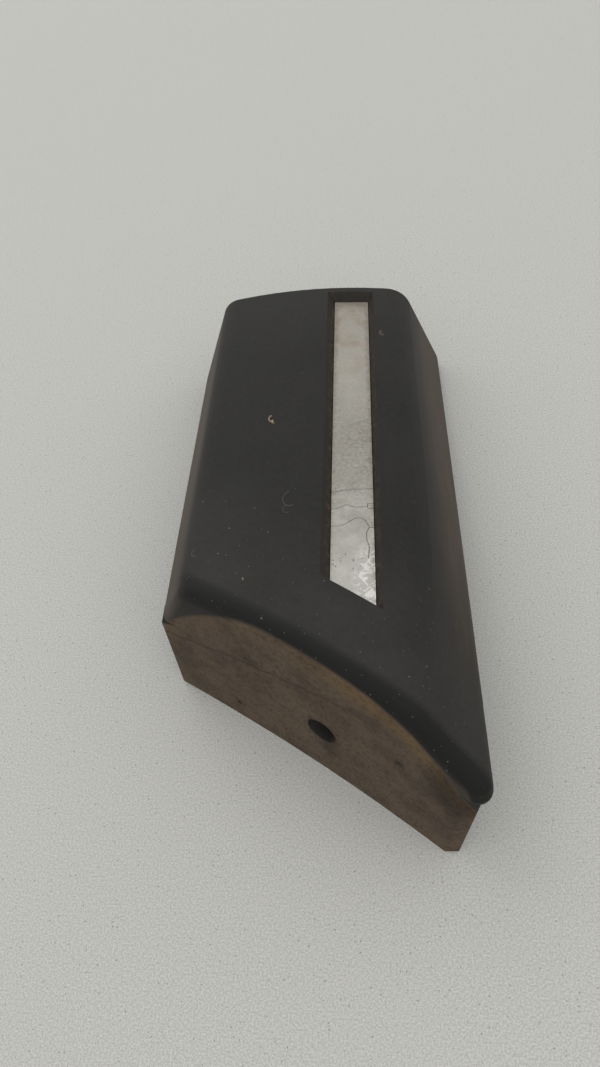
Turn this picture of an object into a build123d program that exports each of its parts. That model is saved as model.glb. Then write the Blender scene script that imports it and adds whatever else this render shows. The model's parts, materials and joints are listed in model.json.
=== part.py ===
from build123d import *
from math import cos, hypot, radians, sin, sqrt, tan
import os

# End section of a vehicle body side moulding, in millimetres. It is drawn in the moulding frame:
# X runs across, Y along the length towards the square end, Z out through the face, and Z 0 is the
# foot of the end wall. At the end every piece is laid down as the moulding lies on a bench: on the
# foot of its end wall and on the lower edge of its square end.

# ---- outside of the moulding --------------------------------------------------------------
square_end = 69.0                # Y of the square end
section_stations = (69.0, 26.0, -18.0, -76.0)
tip_angle = 8.64                 # degrees between the moulding frame and the bench
left_lip = -35.3                 # X of the left lip at the square end
left_lip_rise = 0.124            # per millimetre of length towards the end wall
left_lip_draw_in = 0.026
right_lip = 34.7
right_lip_rise = 0.070
right_lip_draw_in = 0.004
right_lip_edge = 2.5             # height of the upright edge that ends the right lip
right_lip_edge_near = 4.5
right_lip_radius = 5.0           # between that edge and the flank
left_crest = (-25.7, 40.5)       # sharp corner that the left shoulder rounds off
crown_point = (9.0, 44.6)
right_crest = (23.2, 43.8)
right_crest_near = (19.5, 41.6)  # the right shoulder falls away towards the end wall
left_shoulder_radius = 5.5
right_shoulder_radius = 8.0
right_shoulder_radius_near = 13.0
wall = 3.6
lip_wall = 4.6
lip_rounding = 1.2
square_end_rounding = 1.4
face_rounding = 2.8

# ---- end wall, cut to the line of a wheel arch -----------------------------------------------
arch_radius = 500.0
slant = 33.4                     # degrees between the end wall and a square cut
wall_middle = (0.6, -49.2)       # X and Y of the middle of the end wall's outer face
wall_left = -32.6                # X of its sides at the lips, where it is widest
wall_right = 32.6
wall_foot_left = -31.1
wall_foot_right = 31.1
wall_nose = -68.8                # Y at which the pointed right corner is cut off square
foot_lift = 0.6                  # the worn foot rises towards the left corner
foot_lift_from = -8.0
wall_thickness = 4.0
wall_overlap = 1.6               # hidden inside the moulding above the lips
wall_overlap_from = 4.0          # and only this far in from its sides
hole_radius = 3.5
hole_along = 2.6                 # from the middle of the wall
hole_height = 16.7

# ---- bright insert and its groove ------------------------------------------------------------
insert_left = 4.5
insert_right = 13.5
insert_far = 64.3
insert_near = -32.0              # Y of its left corner; the near end follows the slant
insert_face = 42.4
foil_thickness = 0.25
carrier_thickness = 0.9
adhesive_thickness = 0.35
insert_gap = 0.15
bevel_left = 2.7
bevel_right = 1.9
bevel_far = 2.4
bevel_near = 0.6
bevel_top = 45.4                 # clear above the crown
bed_margin = 3.0
bed_depth = 4.7                  # the roof is this thick under the insert
bed_setback = 2.0                # from the end wall's outer face

# ---- stiffening plate and what hangs on it -----------------------------------------------------
plate_slope = 4.8                # degrees; the plate lies along the body panel
plate_height = 25.6              # Z of the plate's underside above the origin
plate_thickness = 1.2
plate_half_width = 22.5
plate_far = 61.0
plate_corner_radius = 3.0
plate_setback = 5.0              # from the middle of the end wall's outer face
panel_gap = 4.8                  # from the plate's underside to the body panel
clip_stations = {"near": -12.0, "middle": 18.0, "far": 48.0}
clip_head_radius = 7.0
clip_head_thickness = 1.5
clip_neck_radius = 4.6
clip_skirt_radius = 6.3
clip_skirt_depth = 4.4
clip_bore_radius = 2.6
clip_slit_width = 0.6
clip_slit_depth = 3.0
seal_radius = 9.5
seal_bore_radius = 6.7
fit_gap = 0.2
screw_places = ((-17.0, -14.0), (17.0, -28.0), (-17.0, 53.0), (17.0, 53.0))
boss_radius = 4.0
screw_radius = 1.75
screw_head_radius = 3.6
screw_head_thickness = 2.2
screw_head_rounding = 0.9
screw_reach = 9.0
recess_width = 1.0
recess_length = 3.8
recess_depth = 1.2
pad_width = 10.5
pad_corner_radius = 1.5
pads = {"left": (-16.6, -2.0, 38.0), "right": (16.6, -14.0, 40.0)}   # X, lowest Y, highest Y
rib_stations = (-2.0, 33.0)
rib_thickness = 2.4
rib_inset = 1.0                  # ribs run this far into the roof and flanks
cutter_drop = 10.0               # inner forms reach this far below the lips

# ---- bracket behind the end wall ---------------------------------------------------------------
bracket_thickness = 1.5
bracket_half_width = 12.5
bracket_foot = 5.0               # height of its lower edge above the foot of the wall
bracket_gap = 0.4
bracket_flange = 12.0
bracket_hole_radius = 3.8
bracket_corner_radius = 4.0
rivet_spread = 9.0
rivet_depth = 12.5               # from the middle of the end wall's outer face
rivet_radius = 2.0
rivet_head_radius = 3.4
rivet_head_thickness = 1.0

# ---- places worked out from the dimensions -----------------------------------------------------
SLANT_SIN = sin(radians(slant))
SLANT_COS = cos(radians(slant))
SAGITTA = arch_radius - sqrt(arch_radius**2 - ((wall_right - wall_left) / 2 / SLANT_COS)**2)
ARCH_CENTRE = (wall_middle[0] - arch_radius * SLANT_SIN, wall_middle[1] - arch_radius * SLANT_COS)
FOOT = (wall_middle[0] - SAGITTA * SLANT_SIN, wall_middle[1] - SAGITTA * SLANT_COS)
FOOT_LINE = Axis((FOOT[0], FOOT[1], 0), (SLANT_COS, -SLANT_SIN, 0))
WALL_FRAME = Location((wall_middle[0], wall_middle[1], 0), (0, 0, -slant))
PLATE_FRAME = Location((0, 0, plate_height), (-plate_slope, 0, 0))
BIG = 200.0                      # longer than the whole moulding


def lerp(start, end, share):
    """A point part of the way from start to end."""
    return tuple(a + (b - a) * share for a, b in zip(start, end))


def box_between(low, high):
    """A box from its lowest corner to its highest one."""
    size = [b - a for a, b in zip(low, high)]
    return Pos(*low) * Box(*size, align=(Align.MIN, Align.MIN, Align.MIN))


def rod(radius, low, high):
    """A round bar along Z."""
    return Pos(0, 0, low) * Cylinder(radius, high - low, align=(Align.CENTER, Align.CENTER, Align.MIN))


def bench_height(x, y):
    """Z of the bench under a point, in the moulding frame."""
    depth = (x - FOOT[0]) * SLANT_SIN + (y - FOOT[1]) * SLANT_COS
    return depth * tan(radians(tip_angle))


def slant_y(x, depth):
    """Y at which a line along the end wall, at a depth behind its face, crosses X."""
    through = (wall_middle[0] + depth * SLANT_SIN, wall_middle[1] + depth * SLANT_COS)
    return through[1] - (x - through[0]) * tan(radians(slant))


def lips(y):
    """X and Z of the left and the right lip at a station along the length."""
    run = square_end - y
    left_z = bench_height(left_lip, square_end) + left_lip_rise * run
    right_z = bench_height(right_lip, square_end) + right_lip_rise * run
    return (left_lip + left_lip_draw_in * run, left_z), (right_lip - right_lip_draw_in * run, right_z)


# ---- moulding ------------------------------------------------------------------------------------
def cross_section(y, side_inset, lip_inset, top_inset, drop):
    """The moulding's outline at a station, drawn in by the insets, with its foot lowered."""
    left, right = lips(y)
    begins, near = section_stations[-2:]
    fall = max(0.0, (begins - y) / (begins - near))
    crest = lerp(right_crest, right_crest_near, fall)
    right_radius = right_shoulder_radius + fall * (right_shoulder_radius_near - right_shoulder_radius)
    along = (square_end - y) / (square_end - near)
    edge_height = right_lip_edge + along * (right_lip_edge_near - right_lip_edge)
    foot_left = (left[0] + lip_inset, left[1] - drop)
    top_left = (left_crest[0] + side_inset, left_crest[1] - top_inset)
    top_middle = (crown_point[0], crown_point[1] - top_inset)
    top_right = (crest[0] - side_inset, crest[1] - top_inset)
    edge_right = (right[0] - lip_inset, right[1] + edge_height)
    foot_right = (right[0] - lip_inset, right[1] - drop)
    crown = ThreePointArc(top_left, top_middle, top_right)
    sides = Line(foot_left, top_left) + crown + Line(top_right, edge_right)
    face = make_face(sides + Line(edge_right, foot_right) + Line(foot_right, foot_left))
    rounded = ((top_left, left_shoulder_radius), (top_right, right_radius),
               (edge_right, right_lip_radius))
    for corner, radius in rounded:
        face = fillet(face.vertices().sort_by_distance((*corner, 0))[0], radius)
    return Plane(origin=(0, y, 0), x_dir=(1, 0, 0), z_dir=(0, -1, 0)) * face


def lengthwise(side_inset=0.0, lip_inset=0.0, top_inset=0.0, drop=0.0):
    """The whole length of the moulding, before its ends are cut."""
    insets = (side_inset, lip_inset, top_inset, drop)
    return loft([cross_section(y, *insets) for y in section_stations])


def arch_round(radius):
    """The round of the wheel arch, standing along Z."""
    return Pos(*ARCH_CENTRE, 0) * rod(radius, -BIG / 4, BIG / 2)


def on_arch(edge):
    """Whether an edge lies on the outer face of the end wall."""
    points = [edge.position_at(share) for share in (0.1, 0.5, 0.9)]
    reach = [hypot(p.X - ARCH_CENTRE[0], p.Y - ARCH_CENTRE[1]) for p in points]
    return all(abs(r - arch_radius) < 0.02 for r in reach)


def outer_form():
    """The moulding as a full body, with its ends cut and its edges rounded."""
    body = lengthwise() - arch_round(arch_radius)
    square_face = body.faces().sort_by(Axis.Y)[-1]
    body = fillet(square_face.edges().sort_by(Axis.Z)[1:], square_end_rounding)
    over_wall = body.edges().filter_by(on_arch).sort_by(SortBy.LENGTH)[:-1]
    body = fillet(over_wall, face_rounding)
    long_edges = body.edges().filter_by(lambda edge: edge.length > square_end).sort_by(Axis.Z)
    left_edge = long_edges.filter_by(lambda edge: edge.center().X < 0)[0]
    right_edge = long_edges.filter_by(lambda edge: edge.center().X > 0)[0]
    return fillet([left_edge, right_edge], lip_rounding)


def hollow():
    """The space inside the moulding, open towards the body panel."""
    inside = lengthwise(wall, lip_wall, wall, cutter_drop) - arch_round(arch_radius + wall_thickness)
    return inside & box_between((-BIG, -BIG, -BIG), (BIG, square_end - wall, BIG))


def end_wall():
    """The tall wall that closes the slanted end and reaches down past the lips."""
    ring = arch_round(arch_radius + wall_thickness) - arch_round(arch_radius)
    left_lip_z = lips(slant_y(wall_left, 0))[0][1]
    right_lip_z = lips(wall_nose)[1][1]
    front = Polyline((wall_foot_left, foot_lift), (wall_left, left_lip_z),
                     (wall_left + wall_overlap_from, left_lip_z + wall_overlap),
                     (wall_right - wall_overlap_from, right_lip_z + wall_overlap), (wall_right, right_lip_z),
                     (wall_foot_right, 0), (foot_lift_from, 0), close=True)
    blank = ring & extrude(Plane.XZ * make_face(front), BIG)
    blank &= box_between((-BIG, wall_nose, -BIG), (BIG, BIG, BIG))
    hole = WALL_FRAME * Pos(hole_along, 0, hole_height) * Rot(X=90) * rod(hole_radius, -10, 10)
    return blank - hole


def insert_outline(grow=0.0):
    """The slanted-ended strip seen from above, let out by grow on every side."""
    left, right = insert_left - grow, insert_right + grow
    along = tan(radians(slant))
    near_left = insert_near - grow / SLANT_COS + grow * along
    near_right = near_left - (right - left) * along
    far = insert_far + grow
    return Polyline((left, near_left), (left, far), (right, far), (right, near_right), close=True)


def groove():
    """The recess for the insert: a pocket for the strip under four bevelled sides."""
    along = tan(radians(slant))
    left, right = insert_left - bevel_left, insert_right + bevel_right
    near_left = insert_near - bevel_near / SLANT_COS + bevel_left * along
    near_right = near_left - (right - left) * along
    far = insert_far + bevel_far
    mouth = Polyline((left, near_left), (left, far), (right, far), (right, near_right), close=True)
    floor = insert_outline(insert_gap)
    bevels = loft([Pos(0, 0, insert_face) * make_face(floor), Pos(0, 0, bevel_top) * make_face(mouth)])
    stack = foil_thickness + carrier_thickness + adhesive_thickness
    pocket = extrude(Pos(0, 0, insert_face - stack) * make_face(floor), stack)
    return bevels + pocket


def inner_ribs(full_body):
    """Screw bosses, cross ribs and the thick bed under the insert, all inside the roof."""
    ribs = [PLATE_FRAME * Pos(x, y, 0) * rod(boss_radius, plate_thickness, BIG / 4)
            for x, y in screw_places]
    ribs += [box_between((-BIG, y, plate_height), (BIG, y + rib_thickness, BIG)) for y in rib_stations]
    bed_low = insert_face - bed_depth
    ribs.append(box_between((insert_left - bed_margin, slant_y(insert_right, bed_setback), bed_low),
                            (insert_right + bed_margin, square_end, insert_face)))
    above_plate = PLATE_FRAME * box_between((-BIG, -BIG, plate_thickness), (BIG, BIG, BIG))
    clear_of_edges = lengthwise(rib_inset, rib_inset, rib_inset, cutter_drop)
    clear_of_edges -= arch_round(arch_radius + rib_inset)
    clear_of_edges &= box_between((-BIG, -BIG, -BIG), (BIG, square_end - rib_inset, BIG))
    return [rib & clear_of_edges & above_plate for rib in ribs]


def moulding_shell():
    """The black moulding: roof, flanks, square end, end wall, ribs and bosses in one piece."""
    full_body = outer_form()
    shell = full_body - hollow() + end_wall()
    for rib in inner_ribs(full_body):
        shell += rib
    shell -= groove()
    for x, y in screw_places:
        shell -= PLATE_FRAME * Pos(x, y, 0) * rod(screw_radius, 0, plate_thickness + screw_reach)
    return shell


# ---- insert --------------------------------------------------------------------------------------
def insert_layer(top, thickness):
    """One layer of the insert strip, from its top face down."""
    return extrude(Pos(0, 0, top - thickness) * make_face(insert_outline()), thickness)


# ---- plate, clips, seals, pads, screws --------------------------------------------------------------
def backing_plate():
    """Pressed steel plate with holes for the clips, the screws and the bracket's rivets."""
    left, right = -plate_half_width, plate_half_width
    corners = [(left, slant_y(left, plate_setback)), (left, plate_far), (right, plate_far),
               (right, slant_y(right, plate_setback))]
    face = make_face(Polyline(*corners, close=True))
    face = fillet(face.vertices(), plate_corner_radius)
    plate = extrude(face, plate_thickness)
    for y in clip_stations.values():
        plate -= Pos(0, y, 0) * rod(clip_neck_radius + fit_gap, -1, plate_thickness + 1)
    for x, y in screw_places:
        plate -= Pos(x, y, 0) * rod(screw_radius + fit_gap, -1, plate_thickness + 1)
    for x, y in rivet_places():
        plate -= Pos(x, y, 0) * rod(rivet_radius, -1, plate_thickness + 1)
    return PLATE_FRAME * plate


def stud_clip(y):
    """Sprung plastic clip that snaps over a stud on the body panel."""
    clip = rod(clip_head_radius, plate_thickness, plate_thickness + clip_head_thickness)
    clip += rod(clip_neck_radius, 0, plate_thickness)
    clip += rod(clip_skirt_radius, -clip_skirt_depth, 0)
    clip -= rod(clip_bore_radius, -BIG, BIG)
    slit = box_between((-BIG, -clip_slit_width / 2, -BIG), (BIG, clip_slit_width / 2, 0))
    slit &= rod(clip_skirt_radius + 1, -BIG, clip_slit_depth - clip_skirt_depth)
    clip -= slit
    clip -= Rot(Z=90) * slit
    return PLATE_FRAME * Pos(0, y, 0) * clip


def clip_seal(y):
    """Foam ring round a clip, squeezed between the plate and the panel."""
    ring = rod(seal_radius, -panel_gap, 0) - rod(seal_bore_radius, -panel_gap - 1, 1)
    return PLATE_FRAME * Pos(0, y, 0) * ring


def anti_rattle_pad(x, low, high):
    """Foam strip stuck under the plate."""
    block = box_between((x - pad_width / 2, low, -panel_gap), (x + pad_width / 2, high, 0))
    return PLATE_FRAME * fillet(block.edges().filter_by(Axis.Z), pad_corner_radius)


def plate_screw(x, y):
    """Pan-head tapping screw that holds the plate to a boss."""
    head = rod(screw_head_radius, -screw_head_thickness, 0)
    head = fillet(head.edges().sort_by(Axis.Z)[0], screw_head_rounding)
    screw = head + rod(screw_radius, 0, plate_thickness + screw_reach)
    half_length, half_width = recess_length / 2, recess_width / 2
    low, high = -screw_head_thickness - 1, recess_depth - screw_head_thickness
    slot = box_between((-half_length, -half_width, low), (half_length, half_width, high))
    return PLATE_FRAME * Pos(x, y, 0) * (screw - slot - Rot(Z=90) * slot)


# ---- bracket behind the end wall -----------------------------------------------------------------
def rivet_places():
    """X and Y of the two rivets, on a line along the end wall."""
    places = []
    for along in (hole_along - rivet_spread, hole_along + rivet_spread):
        x = wall_middle[0] + along * SLANT_COS + rivet_depth * SLANT_SIN
        places.append((x, slant_y(x, rivet_depth)))
    return places


def end_bracket():
    """Folded steel bracket that stiffens the end wall and carries its screw hole."""
    face_depth = wall_thickness + bracket_gap
    left, right = hole_along - bracket_half_width, hole_along + bracket_half_width
    leg = box_between((left, face_depth, bracket_foot), (right, face_depth + bracket_thickness, BIG))
    leg -= Pos(hole_along, 0, hole_height) * Rot(X=90) * rod(bracket_hole_radius, -BIG, BIG)
    low_corners = leg.edges().filter_by(Axis.Y).group_by(Axis.Z)[0]
    leg = fillet(low_corners, bracket_corner_radius)
    under_plate = PLATE_FRAME * box_between((-BIG, -BIG, -BIG), (BIG, BIG, 0))
    leg = (WALL_FRAME * leg) & under_plate
    flange = box_between((left, face_depth, -bracket_thickness), (right, face_depth + bracket_flange, 0))
    flange = PLATE_FRAME * Pos(*wall_middle, 0) * Rot(Z=-slant) * flange
    bracket = leg + flange
    for x, y in rivet_places():
        bracket -= PLATE_FRAME * Pos(x, y, 0) * rod(rivet_radius, -BIG, BIG)
    return bracket


def bracket_rivet(x, y):
    """Rivet through the bracket's flange and the plate, with a head at each end."""
    low, high = -bracket_thickness, plate_thickness
    rivet = rod(rivet_radius, low, high)
    rivet += rod(rivet_head_radius, low - rivet_head_thickness, low)
    rivet += rod(rivet_head_radius, high, high + rivet_head_thickness)
    return PLATE_FRAME * Pos(x, y, 0) * rivet


# ---- laying the moulding down -------------------------------------------------------------------
def tipped(piece):
    """A piece turned about the foot of the end wall until the square end reaches the bench."""
    return piece.rotate(FOOT_LINE, -tip_angle)


def build():
    """Every piece by name, in the moulding frame."""
    pieces = {"moulding_shell": moulding_shell()}
    top = insert_face
    layers = (("insert_foil", foil_thickness), ("insert_carrier", carrier_thickness),
              ("insert_adhesive", adhesive_thickness))
    for name, thickness in layers:
        pieces[name] = insert_layer(top, thickness)
        top -= thickness
    pieces["backing_plate"] = backing_plate()
    pieces["plate_screws"] = Compound([plate_screw(x, y) for x, y in screw_places])
    for name, y in clip_stations.items():
        pieces["stud_clip_" + name] = stud_clip(y)
        pieces["clip_seal_" + name] = clip_seal(y)
    for side, (x, low, high) in pads.items():
        pieces["anti_rattle_pad_" + side] = anti_rattle_pad(x, low, high)
    pieces["end_bracket"] = end_bracket()
    pieces["bracket_rivets"] = Compound([bracket_rivet(x, y) for x, y in rivet_places()])
    return pieces


def main():
    os.makedirs("parts", exist_ok=True)
    pieces = {name: tipped(piece) for name, piece in build().items()}
    above_bench = box_between((-BIG, -BIG, 0), (BIG, BIG, BIG))
    pieces["moulding_shell"] = pieces["moulding_shell"] & above_bench
    middle = pieces["moulding_shell"].bounding_box().center()
    for name, piece in pieces.items():
        placed = Pos(-middle.X, -middle.Y, 0) * piece
        box = placed.bounding_box()
        print(name, round(placed.volume), placed.is_valid, len(placed.solids()), box)
        export_step(placed, "parts/" + name + ".step")


if __name__ == "__main__":
    main()
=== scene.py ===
import json
import math

import bpy
from mathutils import Matrix, Vector


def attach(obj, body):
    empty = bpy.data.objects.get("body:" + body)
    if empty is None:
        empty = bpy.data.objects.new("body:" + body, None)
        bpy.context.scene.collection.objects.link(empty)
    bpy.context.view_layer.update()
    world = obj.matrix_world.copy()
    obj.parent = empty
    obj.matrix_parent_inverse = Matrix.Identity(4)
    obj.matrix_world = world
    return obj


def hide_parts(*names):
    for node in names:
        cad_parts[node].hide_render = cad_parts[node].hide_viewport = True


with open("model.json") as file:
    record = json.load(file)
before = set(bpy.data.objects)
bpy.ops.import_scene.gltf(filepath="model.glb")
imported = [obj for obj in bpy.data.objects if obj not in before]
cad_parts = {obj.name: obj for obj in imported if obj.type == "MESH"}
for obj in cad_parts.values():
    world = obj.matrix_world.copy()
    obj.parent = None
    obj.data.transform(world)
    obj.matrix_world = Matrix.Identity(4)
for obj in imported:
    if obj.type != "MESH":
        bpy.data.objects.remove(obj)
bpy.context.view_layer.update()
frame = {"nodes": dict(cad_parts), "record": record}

# --------------------------------------------------------------------------------------------------
# Places. The moulding lies tipped on its end wall, so its pieces and patterns are laid out in the
# moulding's own frame, in millimetres: across the face, along it towards the square end, and out
# through the face.
# --------------------------------------------------------------------------------------------------

MILLIMETRE = 0.001

square_end_along = 69.0
square_end_out = 30.0

slant = math.radians(33.4)
wall_point = (0.6, -49.2, 0.0)
wall_normal = (-math.sin(slant), -math.cos(slant), 0.0)

insert_left = 4.5
insert_right = 13.5
insert_far = 64.3
insert_near = -32.0
insert_middle = 0.5 * (insert_left + insert_right)
groove_bevel = 2.6
foil_top = 42.9
foil_thickness = 0.22


def moulding_to_frame():
    """The matrix from the moulding's millimetres to the frame's metres, read from the mounts."""
    mounts = {mount["name"]: mount for mount in frame["record"]["mounts"]}
    along = Vector(mounts["square_end_face"]["axis"])
    out = along.cross(Vector(mounts["end_screw_hole"]["axis"])).normalized()
    across = along.cross(out)
    origin = Vector(mounts["square_end_face"]["pos_m"])
    origin -= MILLIMETRE * (square_end_along * along + square_end_out * out)
    turn = Matrix((across, along, out)).transposed()
    return Matrix.Translation(origin) @ turn.to_4x4() @ Matrix.Scale(MILLIMETRE, 4)


TO_FRAME = moulding_to_frame()


def placed(across, along, out):
    """A point of the moulding, in the frame's metres."""
    return TO_FRAME @ Vector((across, along, out))


# --------------------------------------------------------------------------------------------------
# Node wiring
# --------------------------------------------------------------------------------------------------

class Wiring:
    """Adds nodes to one node tree and joins them up."""

    def __init__(self, tree):
        self.tree = tree

    def feed(self, socket, value):
        if isinstance(value, bpy.types.NodeSocket):
            self.tree.links.new(value, socket)
        else:
            socket.default_value = value

    def add(self, kind, inputs=None, **settings):
        made = self.tree.nodes.new(kind)
        for name, value in settings.items():
            setattr(made, name, value)
        for name, value in (inputs or {}).items():
            self.feed(made.inputs[name], value)
        return made

    def math(self, operation, first, second=0.0, clamp=False):
        made = self.add("ShaderNodeMath", operation=operation, use_clamp=clamp)
        for socket, value in zip(made.inputs, (first, second)):
            self.feed(socket, value)
        return made.outputs[0]

    def times(self, *values):
        total = values[0]
        for value in values[1:]:
            total = self.math("MULTIPLY", total, value)
        return total

    def plus(self, *values, clamp=False):
        total = values[0]
        for value in values[1:]:
            total = self.math("ADD", total, value, clamp=clamp)
        return total

    def rise(self, value, low, high):
        """0 below low, 1 above high, and smooth between. With low above high it falls instead."""
        made = self.add("ShaderNodeMapRange", interpolation_type="SMOOTHSTEP")
        sign = 1.0
        if isinstance(low, (int, float)) and isinstance(high, (int, float)) and low > high:
            sign, low, high = -1.0, -low, -high
            value = self.math("MULTIPLY", value, -1.0)
        for name, amount in (("Value", value), ("From Min", low), ("From Max", high)):
            self.feed(made.inputs[name], amount)
        return made.outputs["Result"]

    def band(self, value, centre, half_width):
        """1 at centre, falling to 0 a half width away on both sides."""
        off = self.math("ABSOLUTE", self.math("SUBTRACT", value, centre))
        made = self.add("ShaderNodeMapRange", interpolation_type="SMOOTHSTEP")
        for name, amount in (("Value", off), ("From Min", 0.0), ("From Max", half_width),
                             ("To Min", 1.0), ("To Max", 0.0)):
            self.feed(made.inputs[name], amount)
        return made.outputs["Result"]

    def stretched(self, vector, factors):
        made = self.add("ShaderNodeVectorMath", operation="MULTIPLY")
        self.feed(made.inputs[0], vector)
        self.feed(made.inputs[1], factors)
        return made.outputs[0]

    def noise(self, vector, scale, detail=3.0, roughness=0.55, distortion=0.0):
        made = self.add("ShaderNodeTexNoise", {"Vector": vector, "Scale": scale, "Detail": detail,
                                               "Roughness": roughness, "Distortion": distortion})
        return made.outputs["Fac"]

    def mix(self, share, first, second):
        """One colour laid over another: first where share is 0, second where it is 1."""
        made = self.add("ShaderNodeMix", data_type="RGBA")
        factor, first_colour, second_colour = made.inputs[0], made.inputs[6], made.inputs[7]
        self.feed(factor, share)
        self.feed(first_colour, first)
        self.feed(second_colour, second)
        return made.outputs[2]

    def bump(self, height):
        """The normal of a surface raised by a height in millimetres."""
        made = self.add("ShaderNodeBump", {"Height": height, "Distance": MILLIMETRE, "Strength": 1.0})
        return made.outputs["Normal"]

    def group(self, tree, **inputs):
        made = self.add("ShaderNodeGroup", node_tree=tree)
        for name, value in inputs.items():
            self.feed(made.inputs[name.replace("_", " ").title()], value)
        return made.outputs


FLOAT = "NodeSocketFloat"
VECTOR = "NodeSocketVector"


def new_group(name, inputs, outputs):
    """A node group with named sockets: its wiring, what it is given, and what takes its results."""
    tree = bpy.data.node_groups.new(name, "ShaderNodeTree")
    for label, kind, value in inputs:
        socket = tree.interface.new_socket(name=label, in_out="INPUT", socket_type=kind)
        if value is not None:
            socket.default_value = value
    for label, kind in outputs:
        tree.interface.new_socket(name=label, in_out="OUTPUT", socket_type=kind)
    wiring = Wiring(tree)
    given = wiring.add("NodeGroupInput").outputs
    results = wiring.add("NodeGroupOutput").inputs
    return wiring, given, results


def colour(red, green, blue):
    return (red, green, blue, 1.0)


def grey(value):
    return colour(value, value, value)


# --------------------------------------------------------------------------------------------------
# Shared effects
# --------------------------------------------------------------------------------------------------

def make_place_group():
    """Where a point is on the moulding, in millimetres, and which way its surface faces."""
    wiring, _, results = new_group("moulding_place", [], [
        ("Place", VECTOR), ("Across", FLOAT), ("Along", FLOAT), ("Out", FLOAT), ("Wall", FLOAT),
        ("Faces Out", FLOAT), ("Faces Right", FLOAT), ("Faces Wall", FLOAT)])
    coordinates = wiring.add("ShaderNodeTexCoord")
    place = wiring.add("ShaderNodeMapping", {"Vector": coordinates.outputs["Object"]},
                       vector_type="TEXTURE")
    place.inputs["Location"].default_value = TO_FRAME.to_translation()
    place.inputs["Rotation"].default_value = TO_FRAME.to_euler()
    place.inputs["Scale"].default_value = (MILLIMETRE,) * 3
    split = wiring.add("ShaderNodeSeparateXYZ", {"Vector": place.outputs[0]})
    facing = wiring.add("ShaderNodeMapping", {"Vector": coordinates.outputs["Normal"]},
                        vector_type="TEXTURE")
    facing.inputs["Rotation"].default_value = TO_FRAME.to_euler()
    facing_split = wiring.add("ShaderNodeSeparateXYZ", {"Vector": facing.outputs[0]})
    from_wall = wiring.add("ShaderNodeVectorMath", operation="SUBTRACT")
    wiring.feed(from_wall.inputs[0], place.outputs[0])
    from_wall.inputs[1].default_value = wall_point
    wall = wiring.add("ShaderNodeVectorMath", operation="DOT_PRODUCT")
    wiring.feed(wall.inputs[0], from_wall.outputs[0])
    wall.inputs[1].default_value = wall_normal
    faces_wall = wiring.add("ShaderNodeVectorMath", operation="DOT_PRODUCT")
    wiring.feed(faces_wall.inputs[0], facing.outputs[0])
    faces_wall.inputs[1].default_value = wall_normal
    found = {"Place": place.outputs[0], "Across": split.outputs["X"], "Along": split.outputs["Y"],
             "Out": split.outputs["Z"], "Wall": wall.outputs["Value"],
             "Faces Out": facing_split.outputs["Z"], "Faces Right": facing_split.outputs["X"],
             "Faces Wall": faces_wall.outputs["Value"]}
    for name, socket in found.items():
        wiring.feed(results[name], socket)
    return wiring.tree


def make_mottle_group():
    """Soft patches: 0 to 1, about Size millimetres wide, covering more as Cover rises."""
    wiring, given, results = new_group("mottle", [
        ("Place", VECTOR, None), ("Size", FLOAT, 5.0), ("Cover", FLOAT, 0.5),
        ("Softness", FLOAT, 0.15)], [("Mask", FLOAT)])
    scale = wiring.math("DIVIDE", 1.0, given["Size"])
    patches = wiring.noise(given["Place"], scale, detail=5.0, roughness=0.6)
    middle = wiring.math("SUBTRACT", 1.0, given["Cover"])
    low = wiring.math("SUBTRACT", middle, given["Softness"])
    high = wiring.plus(middle, given["Softness"])
    wiring.feed(results["Mask"], wiring.rise(patches, low, high))
    return wiring.tree


def make_grains_group():
    """Separate grains of dust: at most one in each cell, of uneven size."""
    wiring, given, results = new_group("dust_grains", [
        ("Place", VECTOR, None), ("Cell", FLOAT, 1.0), ("Grain", FLOAT, 0.2), ("Share", FLOAT, 0.3)],
        [("Mask", FLOAT)])
    scale = wiring.math("DIVIDE", 1.0, given["Cell"])
    cells = wiring.add("ShaderNodeTexVoronoi",
                       {"Vector": given["Place"], "Scale": scale, "Randomness": 1.0})
    chance = wiring.add("ShaderNodeSeparateColor", {"Color": cells.outputs["Color"]})
    present = wiring.math("LESS_THAN", chance.outputs["Red"], given["Share"])
    size = wiring.times(given["Grain"], wiring.plus(0.4, wiring.times(chance.outputs["Green"], 0.9)))
    inner = wiring.times(size, 0.55)
    grain = wiring.math("SUBTRACT", 1.0, wiring.rise(cells.outputs["Distance"], inner, size))
    wiring.feed(results["Mask"], wiring.times(grain, present))
    return wiring.tree


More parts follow.
